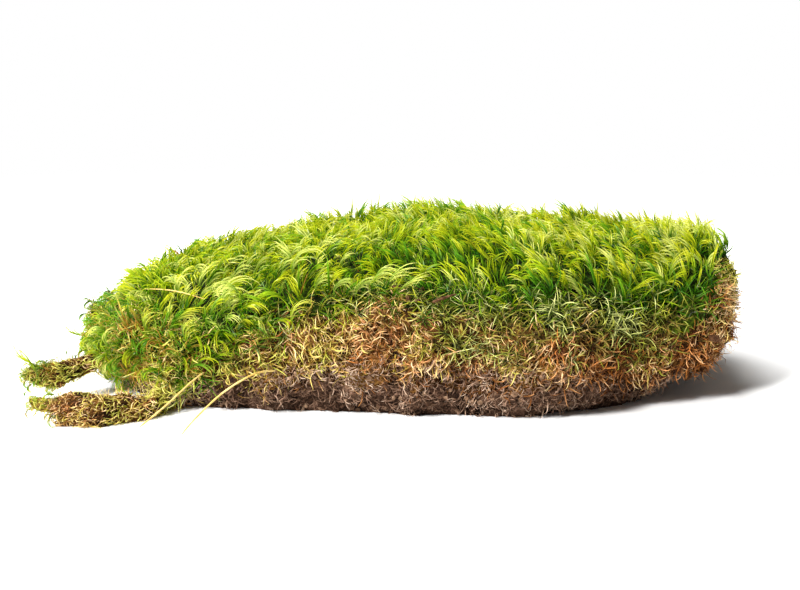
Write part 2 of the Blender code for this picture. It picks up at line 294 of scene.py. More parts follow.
class Blades:
    # gathers the leaf strips of one model, with each point's place on the palette map
    def __init__(self):
        self.points, self.faces, self.places = [], [], []

    def addPoint(self, point, *place):
        self.points.append(point)
        self.places.append(place)
        return len(self.points) - 1

    def leaf(self, root, heading, spin, length, width, rows, twist, shade, low=0.0, high=1.0):
        # a strip from its root that turns by the vector spin on its way and tapers to a point
        place, direction = Vector(root), Vector(heading).normalized()
        bendAxis = spin.normalized()
        previous = None
        for row in range(rows):
            share = row / rows
            side = bendAxis - direction * bendAxis.dot(direction)
            side = Quaternion(direction, twist * (1 + 0.5 * share)) @ side.normalized()
            half = side * width / 2 * min(1, 0.65 + 1.5 * share) * (1 - share) ** 0.7
            here = low + (high - low) * share
            pair = [self.addPoint(place + way * half, here, float(way > 0), shade) for way in (-1, 1)]
            if previous:
                self.faces.append((previous[0], previous[1], pair[1], pair[0]))
            previous = pair
            turn = spin.length * (0.5 + share) / rows  # bends more towards the tip
            direction = Quaternion(bendAxis, turn) @ direction
            place = place + direction * (length / rows)
        self.faces.append((*previous, self.addPoint(place, high, 0.5, shade)))

    def intoModel(self, name):
        mesh = bpy.data.meshes.new(name)
        mesh.from_pydata(self.points, [], self.faces)
        mesh.polygons.foreach_set("use_smooth", [True] * len(self.faces))
        paint(mesh, dict(zip(placeLabels, zip(*self.places))))
        return bpy.data.objects.new(name, mesh)


def headingFrom(azimuth, spread):
    return Vector((math.cos(azimuth) * math.sin(spread), math.sin(azimuth) * math.sin(spread), math.cos(spread)))


def between(pair, share):
    return pair[0] + (pair[1] - pair[0]) * share


def plume(name, chance, settings, share):
    # the tip of a shoot: a closed bundle of young leaves over a ruff of open ones, arched towards +X
    blades = Blades()
    hook = between(settings["hook"], share)
    count = settings["ruff"] + settings["core"]
    stemTurn = hook * settings["stemShare"]
    place = Vector((0, 0, 0))
    for i in range(count):
        rise = i / (count - 1)
        inCore = i >= settings["ruff"]
        tangent = Vector((math.sin(stemTurn * rise), 0, math.cos(stemTurn * rise)))
        if i:
            place = place + tangent * settings["stem"] / (count - 1)
        outward = Quaternion(tangent, i * goldenTurn + chance.uniform(-0.4, 0.4)) @ Vector((0, 1, 0))
        spread = math.radians(between(settings["coreSpread" if inCore else "ruffSpread"], rise))
        spread *= chance.uniform(0.6, 1.4)
        heading = tangent * math.cos(spread) + outward * math.sin(spread)
        closing = settings["coreClosing"] if inCore else chance.uniform(*settings["ruffClosing"])
        inward = heading.cross(tangent).normalized() * spread * closing
        sweep = Vector((chance.uniform(-0.15, 0.15), 1, 0)) * hook * chance.uniform(0.8, 1.2)
        blades.leaf(
            place,
            heading,
            inward + sweep * (1 if inCore else 0.7),
            settings["length"] * (0.75 + 0.35 * rise) * chance.uniform(0.88, 1.1),
            settings["width"] * chance.uniform(0.85, 1.1) * (1.15 if inCore else 0.85),
            settings["rows"] + round(hook * 0.6),
            math.radians(chance.choice((-1, 1)) * chance.uniform(30, 75)),
            # the ruff's leaves are darker and reach less far up the palette than the core's: partly older
            # leaves, partly painted shade deeper in the shoot
            (0.35 if inCore else -0.3) + chance.uniform(-0.25, 0.25),
            0.3 if inCore else 0.15,
            1.0 if inCore else 0.85,
        )
    return blades.intoModel(name)


def spreadTuft(name, chance, settings, _):
    # leaves that stand out all round a stem, with tips that curl back or droop
    blades = Blades()
    count = settings["leaves"]
    for i in range(count):
        rise = i / (count - 1)
        spread = math.radians(between(settings["spread"], rise) + chance.uniform(-10, 10))
        heading = headingFrom(i * goldenTurn + chance.uniform(-0.4, 0.4), spread)
        outward = Vector((0, 0, 1)).cross(heading).normalized()
        curl = math.radians(chance.uniform(*settings["curl"]))
        blades.leaf(
            Vector((0, 0, between(settings["heights"], rise))),
            heading,
            outward * curl + Vector([chance.uniform(-0.25, 0.25) for _ in range(3)]),
            settings["length"] * chance.uniform(0.75, 1.15),
            settings["width"] * chance.uniform(0.8, 1.15),
            settings["rows"],
            math.radians(chance.uniform(-80, 80)),
            (rise - 0.5) * 0.5 + chance.uniform(-0.4, 0.4),
            settings["low"],
            settings["high"],
        )
    return blades.intoModel(name)


def curledCluster(name, chance, settings, _):
    # dried leaves that mostly lie one way, as they grew on their stem, with a few loose curls among them
    blades = Blades()
    for i in range(settings["leaves"]):
        spread = math.radians(chance.uniform(*settings["spread"]))
        stray = i % settings["strayEvery"] == 0
        azimuth = chance.uniform(0, 2 * math.pi) if stray else math.radians(chance.gauss(0, settings["fan"]))
        heading = headingFrom(azimuth, spread)
        over = Vector((-math.sin(azimuth), math.cos(azimuth), 0))
        over += Vector([chance.uniform(-0.5, 0.5) for _ in range(3)])
        if stray:
            over = heading.cross(Vector([chance.uniform(-1, 1) for _ in range(3)]))
        blades.leaf(
            Vector([chance.uniform(-1, 1) * settings["scatter"] for _ in range(2)] + [0]),
            heading,
            over.normalized() * math.radians(chance.uniform(*settings["bend"])),
            settings["length"] * chance.uniform(0.6, 1.25),
            settings["width"] * chance.uniform(0.7, 1.2),
            settings["rows"],
            math.radians(chance.uniform(0, 180)),
            chance.uniform(-0.5, 0.5),
            0.0,
            settings["high"],
        )
    return blades.intoModel(name)


def crumb(name, chance, settings, _):
    # a knobbly grain of soil
    grain = bmesh.new()
    bmesh.ops.create_icosphere(grain, subdivisions=1, radius=settings["radius"])
    shift = Vector([chance.uniform(0, 90) for _ in range(3)])
    for vertex in grain.verts:
        vertex.co *= 1 + 0.7 * noise.noise(vertex.co / settings["radius"] * 1.3 + shift)
        vertex.co.z *= 0.75
    mesh = bpy.data.meshes.new(name)
    grain.to_mesh(mesh)
    grain.free()
    paint(mesh, {label: [chance.uniform(0, 1) for _ in mesh.vertices] for label in placeLabels})
    return bpy.data.objects.new(name, mesh)


def modelSet(name, makeModel, settings):
    # models of one kind, picked from in the order of their names
    chance = random.Random(settings["seed"])
    kept = bpy.data.collections.new(name)
    workshop.children.link(kept)
    for i in range(settings["models"]):
        kept.objects.link(makeModel(f"{name}{i:02d}", chance, settings, i / (settings["models"] - 1)))
    return kept


plumeSettings = {
    "models": 14, "seed": 3, "ruff": 8, "core": 6, "rows": 4, "stem": 3.8 * mm,
    "stemShare": 0.35,  # of the hook, that the stem itself takes part in
    "ruffSpread": (60, 20), "ruffClosing": (-0.5, 0.6), "coreSpread": (14, 4), "coreClosing": 1.3,
    "length": 5.6 * mm, "width": 0.42 * mm, "hook": (math.radians(10), math.radians(190)),
}
shortPlumeSettings = {
    **plumeSettings,
    "models": 10, "seed": 13, "ruff": 4, "stem": 3.2 * mm, "ruffSpread": (40, 22), "ruffClosing": (0.4, 1.2),
    "coreSpread": (22, 8), "coreClosing": 1.0, "length": 4.6 * mm, "width": 0.38 * mm,
    "hook": (math.radians(20), math.radians(120)),
}
# the left end is looser, with thin leaves that curl over
wispySettings = {
    **plumeSettings,
    "models": 10, "seed": 14, "ruff": 10, "ruffSpread": (75, 25), "ruffClosing": (-0.8, 0.3),
    "coreSpread": (26, 10), "coreClosing": 0.9, "length": 5.4 * mm, "width": 0.3 * mm,
    "hook": (math.radians(50), math.radians(220)),
}
# the skirt's leaves never reach their full tip colour: painted shade under the shoots
skirtSettings = {
    "models": 8, "seed": 4, "leaves": 11, "rows": 3, "heights": (-1.5 * mm, 3.0 * mm), "spread": (80, 30),
    "curl": (-70, 70), "length": 5.2 * mm, "width": 0.42 * mm, "low": 0.0, "high": 0.6,
}
starSettings = {
    "models": 8, "seed": 5, "leaves": 15, "rows": 4, "heights": (-0.5 * mm, 2.0 * mm), "spread": (88, 25),
    "curl": (20, 130), "length": 4.6 * mm, "width": 0.3 * mm, "low": 0.2, "high": 1.0,
}
deadSettings = {
    "models": 10, "seed": 6, "leaves": 8, "rows": 5, "spread": (25, 80),
    "fan": 30,  # degrees that most leaves stay within, to either side
    "strayEvery": 3, "scatter": 1.1 * mm, "bend": (40, 280), "length": 4.8 * mm, "width": 0.42 * mm,
    "high": 1.0,
}
mattedSettings = {
    **deadSettings,
    "models": 8, "seed": 9, "leaves": 9, "rows": 3, "spread": (70, 95), "fan": 60, "bend": (60, 200),
    "high": 0.7,
}
threadSettings = {
    "models": 8, "seed": 7, "leaves": 7, "rows": 4, "spread": (30, 88), "fan": 50, "strayEvery": 2,
    "scatter": 1.2 * mm, "bend": (20, 160), "length": 3.2 * mm, "width": 0.36 * mm, "high": 1.0,
}
crumbSettings = {"models": 6, "seed": 8, "radius": 0.8 * mm}

plumeModels = modelSet("plume", plume, plumeSettings)
shortPlumeModels = modelSet("short", plume, shortPlumeSettings)
wispyModels = modelSet("wispy", plume, wispySettings)
skirtModels = modelSet("skirt", spreadTuft, skirtSettings)
starModels = modelSet("star", spreadTuft, starSettings)
deadModels = modelSet("dead", curledCluster, deadSettings)
mattedModels = modelSet("matted", curledCluster, mattedSettings)
threadModels = modelSet("thread", curledCluster, threadSettings)
crumbModels = modelSet("crumb", crumb, crumbSettings)
print("leaf models are made")


# The ground that the leaves grow from: one skin over all the layers, split again at their borders

def cadPoints(node):
    mesh = frame["nodes"][node].data
    return [v.co.copy() for v in mesh.vertices], [tuple(p.vertices) for p in mesh.polygons]


def neck(strand, layer, radius, settings):
    # a short round bridge that carries a strand into the layer that it hangs from
    tree = BVHTree.FromPolygons(*cadPoints(layer))
    points = cadPoints(strand)[0]
    root = min(points, key=lambda p: tree.find_nearest(p)[3])
    near = [p for p in points if (p - root).length < settings["neckReach"]]
    ahead = (sum(near, Vector()) / len(near) - root).normalized()
    bridge = bmesh.new()
    sizes = {"radius1": radius * 1.3, "radius2": radius, "depth": settings["neckLength"]}
    bmesh.ops.create_cone(bridge, cap_ends=True, segments=10, **sizes)
    middle = Matrix.Translation(root + ahead * settings["neckOffset"])
    bridge.transform(middle @ ahead.to_track_quat("Z", "Y").to_matrix().to_4x4())
    made = [v.co.copy() for v in bridge.verts], [tuple(v.index for v in f.verts) for f in bridge.faces]
    bridge.free()
    return made


def mergedCopy(name, nodes, extras=()):
    points, faces = [], []
    for partPoints, partFaces in [cadPoints(node) for node in nodes] + list(extras):
        faces += [tuple(i + len(points) for i in face) for face in partFaces]
        points += partPoints
    mesh = bpy.data.meshes.new(name)
    mesh.from_pydata(points, [], faces)
    merged = bmesh.new()
    merged.from_mesh(mesh)
    bmesh.ops.remove_doubles(merged, verts=merged.verts, dist=0.002 * mm)  # closes its seams
    merged.to_mesh(mesh)
    merged.free()
    return addObject(name, mesh)


def applyModifiers(piece):
    mesh = evaluatedMesh(piece)
    piece.modifiers.clear()
    piece.data = mesh


def dropPockets(mesh, least):
    # the closed pockets between the layers, which nobody sees
    whole = bmesh.new()
    whole.from_mesh(mesh)
    left, loose = set(whole.verts), []
    while left:
        queue = [left.pop()]
        group = list(queue)
        while queue:
            reached = {vertex for edge in queue.pop().link_edges for vertex in edge.verts} & left
            left -= reached
            queue += reached
            group += reached
        if len(group) < least:
            loose += group
    bmesh.ops.delete(whole, geom=loose, context="VERTS")
    whole.to_mesh(mesh)
    whole.free()


class Skin:
    # the shell as arrays: its points, the neighbours that smooth a value over it, and its normals
    def __init__(self, mesh):
        self.mesh = mesh
        self.points = np.array([v.co for v in mesh.vertices], float)
        self.edges = np.array([e.vertices for e in mesh.edges])
        self.degree = np.bincount(self.edges.ravel(), minlength=len(self.points)).astype(float)

    def smoothed(self, values, times):
        degree = self.degree if values.ndim == 1 else self.degree[:, None]
        for _ in range(times):
            total = np.zeros_like(values, dtype=float)
            np.add.at(total, self.edges[:, 0], values[self.edges[:, 1]])
            np.add.at(total, self.edges[:, 1], values[self.edges[:, 0]])
            values = 0.5 * values + 0.5 * total / degree
        return values

    def normals(self):
        # of the points as they now are, which go into the mesh
        self.mesh.vertices.foreach_set("co", self.points.ravel())
        self.mesh.update()
        return np.array([n.vector for n in self.mesh.vertex_normals])


def lumps(size, height, shift=0.0):
    # soft lumps over the skin, of this size in mm
    start = Vector((shift, 0, 0))
    return np.array([noise.noise(Vector(p) / (size * mm) + start) for p in skin.points]) * height


groundSettings = {
    "voxel": 1.4 * mm, "smoothing": 12, "strandSmoothing": 5,
    "layers": ["shoot_crown", "stem_layer", "rhizoid_mat", "torn_strand_lower", "torn_strand_upper"],
    "necks": [("torn_strand_lower", "rhizoid_mat", 2.0 * mm), ("torn_strand_upper", "stem_layer", 1.5 * mm)],
    "neckReach": 16 * mm,  # how much of a strand tells which way its neck goes
    "neckLength": 14 * mm, "neckOffset": 2 * mm, "swells": (0.5 * mm, 1.3 * mm),
    "leastPart": 60,  # points, under which a loose part of the skin is a closed pocket
    "inset": [5.0 * mm, 3.2 * mm, 2.0 * mm, 1.8 * mm, 1.8 * mm],
    "strandInsets": (2.7 * mm, 1.0 * mm),  # of the lower and the upper strand
    "leftEnd": 2.5 * mm,  # more inset at the upper left end, which tapers
    "tornEnd": 0.7,  # share of the inset that the blunt end goes without
    "lump": [0.5 * mm, 1.8 * mm, 1.2 * mm, 0.5 * mm, 0.5 * mm], "lumpiness": 1.4, "footHeight": 0.3 * mm,
    "footGap": 0.05 * mm,  # keeps the flat foot just clear of the floor
}
layers = groundSettings["layers"]
shell = mergedCopy("shell", layers, [neck(*given, groundSettings) for given in groundSettings["necks"]])
for swell in groundSettings["swells"]:
    # swollen and skinned anew, so that the joints and the folds between tufts close
    swollen = Skin(shell.data)
    swollen.points += swollen.normals() * swell
    swollen.normals()
    remesh = shell.modifiers.new("skin", "REMESH")
    remesh.mode = "VOXEL"
    remesh.voxel_size = groundSettings["voxel"]
    applyModifiers(shell)
dropPockets(shell.data, groundSettings["leastPart"])
skin = Skin(shell.data)
trees = [BVHTree.FromPolygons(*cadPoints(node)) for node in layers]
nearest = np.array([np.argmin([tree.find_nearest(Vector(p))[3] for tree in trees]) for p in skin.points])
onFoot = skin.points[:, 2] < groundSettings["footHeight"]


def layerShare(which, times):
    # 1 inside these layers and 0.5 at their edge, over a band that grows with the times
    return skin.smoothed(np.isin(nearest, which).astype(float), times)


strand = layerShare([3, 4], 3)
nearStrand = np.clip(3 * layerShare([3, 4], 12), 0, 1)
body, loose = [skin.smoothed(skin.points, groundSettings[s]) for s in ("smoothing", "strandSmoothing")]
skin.points = (1 - nearStrand)[:, None] * body + nearStrand[:, None] * loose
inset = skin.smoothed(np.array(groundSettings["inset"])[nearest], 6)
strandInset = skin.smoothed(np.where(nearest == 4, *groundSettings["strandInsets"][::-1]), 3)
inset = inset * (1 - nearStrand) + strandInset * nearStrand
across, up = skin.points[:, 0], skin.points[:, 2]
upperLeft = np.clip((-across - 74 * mm) / (8 * mm), 0, 1) * np.clip((up - 12 * mm) / (8 * mm), 0, 1)
inset += groundSettings["leftEnd"] * upperLeft
inset *= 1 - groundSettings["tornEnd"] * np.clip((across - 68 * mm) / (10 * mm), 0, 1)
lump = skin.smoothed(np.array(groundSettings["lump"])[nearest], 6)
relief = lumps(5, 1.0) + lumps(2.2, 0.5)
skin.points += skin.normals() * (relief * lump * groundSettings["lumpiness"] - inset)[:, None]
skin.points[:, 2] = np.maximum(skin.points[:, 2], groundSettings["footGap"])
skin.points[onFoot, 2] = groundSettings["footGap"]
skinNormals = skin.normals()
print("ground skin has", len(skin.points), "points")


# What grows where: values painted on the points of the ground, which the scatter reads

def smoothStep(value, low, high):
    share = np.clip((value - low) / (high - low), 0, 1)
    return share * share * (3 - 2 * share)


def smoothFall(value, low, high):
    return 1 - smoothStep(value, low, high)


def bump(value, middle, width):
    return np.exp(-(((value - middle) / width) ** 2))


def withinLayer(inside):
    # distance in mm from the edge of a layer, positive inside it
    crossing = skin.edges[inside[skin.edges[:, 0]] != inside[skin.edges[:, 1]]]
    border = KDTree(len(crossing))
    for i, place in enumerate(skin.points[crossing].mean(axis=1)):
        border.insert(place, i)
    border.balance()
    away = np.array([border.find(point)[2] for point in skin.points]) / mm
    return np.where(inside, away, -away)


def openShare(mesh, directions):
    # 1 where the skin can be seen from outside, 0 on the walls of hollows that were left inside
    tree = BVHTree.FromPolygons([v.co for v in mesh.vertices], [tuple(p.vertices) for p in mesh.polygons])
    found = np.zeros(len(mesh.vertices))
    for vertex in mesh.vertices:
        start = vertex.co + vertex.normal * 0.2 * mm
        for way in [vertex.normal] + directions:
            if way.dot(vertex.normal) > 0.1 and tree.ray_cast(start, way)[0] is None:
                found[vertex.index] = 1
                break
    return found


x, y, z = skin.points.T / mm
topness = smoothStep(skinNormals[:, 2], 0.2, 0.85)
underside = smoothStep(-skinNormals[:, 2], 0.3, 0.8)
isOpen = openShare(shell.data, [headingFrom(i * goldenTurn, math.acos(1 - (i + 0.5) / 16)) for i in range(32)])
print("points on inner walls:", int((isOpen == 0).sum()))
green, depthInGreen, felt = layerShare(0, 10), layerShare(0, 40), layerShare(2, 10)
patches = lumps(7, 0.5, 5.0) + lumps(2.5, 0.25, 2.0)
ragged = lumps(8, 4, 5.0) + lumps(2.5, 1.5, 2.0)
intoCrown = withinLayer(nearest == 0) + ragged

# between the shoots and the dead leaves lies a belt of small star-shaped tufts, wide on the right
beltPlaces = [-70, -56, -44, -32, -12, 0, 10, 23, 35, 47, 59, 71, 85]
beltTop = np.interp(x, beltPlaces, [-5, -7, -5, -1, 1, 2, 3, 3, 4, 5, 5, 4, 4])
beltFoot = np.interp(x, beltPlaces, [-8, -12, -10, -5, -3, -5, -10, -9, -7, -5, -6, -5, -4])
paleGap = bump(x, 1, 9) * smoothFall(z, 27, 31) * (y < 0)
beltShare = (0.6 + 0.4 * smoothStep(x, -14, 0)) * (1 - 0.7 * paleGap)  # of the belt, that star tufts take

# the blunt end, torn open, and the left end, where green and dead leaves mix
tornFace = smoothStep(x + 0.5 * ragged, 75, 79) * smoothFall(z, 32.5, 35)
shoulder = smoothStep(x, 66, 74) * smoothStep(z, 31, 34) * (1 - tornFace)
leftEnd = smoothStep(-x, 60, 76)
lowLeft = smoothStep(-x, 45, 65) * smoothFall(z, 14, 24)
leftMix = smoothStep(-x, 32, 56) * (1 - smoothStep(intoCrown, 7, 18) * (1 - leftEnd))
leftMix *= smoothStep(lumps(9, 1.0, 12.0) + lumps(3, 0.8, 13.0) + 0.2 * lowLeft, -0.25, 0.1)

# the broad top, the folds in it, which stay bare, and the knobs, where shoots are shorter
broadTopness = skin.smoothed(topness, 25)
fromMiddle = np.hypot(x / 88, y / np.where(y > 0, 62, 48))
sideways = smoothFall(broadTopness, 0.3, 0.8) * smoothStep(fromMiddle, 0.7, 0.85)
isOpen *= 1 - smoothStep(broadTopness - topness, 0.3, 0.55) * smoothFall(fromMiddle, 0.8, 0.88)
knob = smoothStep(z - skin.smoothed(z, 60), 0.3, 1.2) * smoothFall(fromMiddle, 0.7, 0.82) * green

# the felt and the torn strands
offStrand = 1 - strand
feltTop = np.interp(x, [-60, -35, 0, 40, 62], [3, 12, 14.5, 13.5, 7])
felted = np.maximum(felt, smoothStep(feltTop + 4 * patches - z, -1, 2) * offStrand)
upperTip = smoothStep(layerShare(4, 2), 0.3, 0.7) * smoothStep(-x, 80, 86)
strandGreen = np.maximum(upperTip, strand * smoothStep(-x, 78, 86))

# places that are lighter, darker or redder: the tan and rust patches are the leaves' own colour, the front and
# under-claw patches are painted light
paintedLightFront = bump(x, -46, 20) * bump(z, 19, 8) * (y < 0)
paintedLightUnderClaws = bump(x, -18, 14) * (y < 0)
# lighter in tone on the front of the left half: partly yellower shoots, partly painted light
frontLeft = smoothStep(-x, 15, 50) * smoothStep(-skinNormals[:, 1], 0, 0.5)
tanPatch = bump(x, -2, 15)
rustPatch = bump(x, -30, 7) * bump(z, 22, 5) * (y < 0)

# shoots that stand together lean together, which leaves gaps between one tuft and the next
tufting = [lumps(7, 2.0, shift) for shift in (31.0, 32.0)]
towardsMiddle = np.interp(x, [-85, -70, -56, -35, 15, 64, 82], [-1.0, -0.4, 0.5, 0.75, -0.85, -0.7, -0.4])
combs = {
    "comb": (
        towardsMiddle + 0.5 * lumps(24, 1.8, 3.0) + tufting[0],
        0.8 * lumps(20, 1.8, 8.0) + tufting[1],
        0 * x,
    ),
    "deadComb": (lumps(13, 2.4, 21.0), 0 * x, lumps(13, 1.6, 22.0) - 0.4),
}
strandLean = {"comb": [-1.3, 0.0, 0.35], "deadComb": [-1.3, 0.0, 0.0]}
paint(
    shell.data,
    {
        label: np.stack(ways, axis=1) * offStrand[:, None] + strand[:, None] * np.array(strandLean[label])
        for label, ways in combs.items()
    },
)

shootCover = smoothStep(intoCrown, beltTop - 1, beltTop + 1.5) * offStrand * (1 - tornFace) * isOpen
beltCover = smoothFall(intoCrown, beltTop, beltTop + 4) * isOpen * offStrand * (1 - underside) * (1 - tornFace)
covers = {
    "crownCover": shootCover * sideways,
    "topCover": shootCover * (1 - sideways),
    "shoulderCover": np.sqrt(shootCover) * shoulder,
    "skirtCover": shootCover * np.maximum(np.maximum(sideways, 0.3), shoulder),
    "starCover": beltCover
    * smoothStep(intoCrown, beltFoot - 1, beltFoot + 2)
    * beltShare
    * (1 - felt)
    * (1 - 0.75 * smoothStep(x, 64, 76) * smoothFall(z, 24, 34)),
    "greenStarCover": beltCover * smoothStep(intoCrown, beltTop - 5, beltTop - 1),
    "strandCover": np.maximum(strand, nearStrand * (1 - onFoot)),
    "strandGreen": strandGreen,
    "fringeCover": smoothStep(-x, 62, 74) * smoothStep(16 - z, 0, 4) * smoothStep(z, 2, 5) * offStrand,
    "mattedCover": smoothFall(intoCrown, beltFoot - 1, beltFoot + 5)
    * smoothFall(felt, 0.5, 0.8)
    * (1 - 0.8 * underside)
    * offStrand
    * isOpen,
    "deadCover": np.maximum.reduce(
        [
            1
            - 0.8 * beltShare * smoothStep(intoCrown, beltFoot, beltFoot + 3)
            - (1 - 0.8 * beltShare) * smoothStep(intoCrown, 0, 3),
            np.clip(2 * tornFace, 0, 1),
            0.8 * leftMix,
        ]
    )
    * smoothStep(1 - felted + 0.7 * patches, 0.3, 0.6)
    * (1 - 0.8 * underside)
    * offStrand,
    "feltCover": smoothStep(felted - 0.6 * patches, 0.25, 0.5) * (1 - 0.8 * onFoot),
}
paint(shell.data, covers)

# the tone of the shoots on their palette, from brown and dark green to pale yellow. Besides random tone and real
# colour it holds painted light and shade: lighter on the top (partly fresher, yellower tips), on the front of
# the left half and at the left end, darker towards the foot of the green crown, and patches here and there made
# lighter or darker
shade = (
    0.32
    + 0.24 * topness
    + lumps(14, 0.3)
    + lumps(4.5, 0.4, 33.0)
    # painted shade: darker towards the foot of the green crown
    - 0.25 * smoothFall(depthInGreen, 0.5, 0.85)
    + 0.3 * frontLeft
    + 0.36 * leftEnd * (1 - 0.6 * smoothStep(z, 22, 30))
    + 0.12 * smoothStep(x, 10, 50)
    + 0.06 * smoothStep(x, 45, 60) * topness
    - 0.22 * smoothStep(-x, 45, 60) * smoothStep(z, 20, 27)
    + 0.06 * smoothStep(x, 45, 55) * smoothStep(-z, -34, -30)
    + 0.1 * bump(x, -36, 14) * topness
    + 0.55 * paintedLightFront
    - 0.08 * bump(x, 0, 26) * (1 - topness)
    + 0.3 * strand
)
starShade = (
    0.6
    + lumps(8, 0.9, 4.0)
    - 0.3 * smoothStep(x, 62, 76)
    - 0.25 * smoothStep(x, 30, 55) * smoothStep(-intoCrown, -2, 3)
)
deadShade = (
    0.49
    + lumps(11, 0.75, 5.0)
    + lumps(4, 0.35, 6.0)
    + 0.4 * green
    - 0.25 * felt
    - 0.05 * strand
    - 0.5 * rustPatch
    - 0.2 * tanPatch
    + 0.3 * smoothStep(-x, 10, 50)
    - 0.32 * smoothStep(x, 20, 60)
    - 0.12 * smoothStep(x, 5, 35)
    + 0.25 * bump(x, -42, 10)
    + 0.6 * strand * smoothStep(-x, 80, 87)
    + tornFace * (0.25 + 0.3 * smoothStep(z, 26, 33))
)
looks = {
    "shade": np.clip(shade, 0.3, 1.0) * (1 - 0.8 * leftMix),
    # under the shoots the leaves stay darker: painted shade, lifted by the painted light of the front and
    # under-claw patches
    "underShade": 0.32
    + 0.15 * topness
    + 0.5 * paintedLightFront
    + 0.25 * paintedLightUnderClaws
    + 0.3 * frontLeft
    + 0.2 * leftEnd,
    "greenStarShade": np.clip(0.45 + lumps(8, 0.5, 6.0), 0.4, 0.8),
    "starShade": np.clip(starShade, 0.05, 0.95),
    "deadShade": np.clip(deadShade, 0, 1),
    "threadShade": np.clip(0.45 + lumps(9, 0.6, 7.0), 0, 1),
    "vigour": 0.92
    + 0.08 * smoothStep(depthInGreen, 0.5, 0.85)
    - 0.2 * smoothStep(topness, 0.2, 0.8)
    + 0.15 * bump(x, -64, 18) * smoothStep(topness, 0.2, 0.6)
    - 0.2 * leftEnd
    - 0.35 * knob
    - 0.1 * tornFace
    + lumps(9, 0.15),
    "hook": np.clip(0.5 - x / 240 + lumps(15, 0.6, 9.0), 0.25 + 0.2 * topness, 1),
}
paint(shell.data, looks)


def dropPaint(mesh):
    for label in [a.name for a in mesh.attributes if a.data_type in ("FLOAT", "FLOAT_VECTOR")]:
        if label != "position":
            mesh.attributes.remove(mesh.attributes[label])


def partOf(name, layerSet, material):
    # the faces of the ground that belong to one layer
    mesh = shell.data.copy()
    cut = bmesh.new()
    cut.from_mesh(mesh)
    cut.verts.ensure_lookup_table()
    wrong = [f for f in cut.faces if sorted(nearest[v.index] for v in f.verts)[1] not in layerSet]
    bmesh.ops.delete(cut, geom=wrong, context="FACES")
    cut.to_mesh(mesh)
    cut.free()
    dropPaint(mesh)
    print(name, "has", len(mesh.polygons), "faces")
    return smoothPiece(name, mesh, material)


crownGround = partOf("crown_ground", {0}, shadedGreen)
stemGround = partOf("stem_ground", {1}, mattedStems)
matGround = partOf("mat_ground", {2}, rhizoidFelt)
strandGround = partOf("strand_ground", {3, 4}, mattedStems)


# Scattering leaves over the ground

scatterDefaults = {
    "Spacing": 3 * mm, "Seed": 1, "From X": -1.0, "To X": 1.0, "Cover": "", "Comb": "comb", "Shade": "shade",
    "Shade spread": 0.1, "Leaf shade": 0.2, "Least shade": palette["darkest"], "Out": 0.6, "Rise": 0.4,
    "Lean": 0.5, "Disorder": 0.25, "Turn": 0.6, "Size": 1.0, "Size spread": 0.2, "Model count": 1,
    "Model mix": 1.0,
}


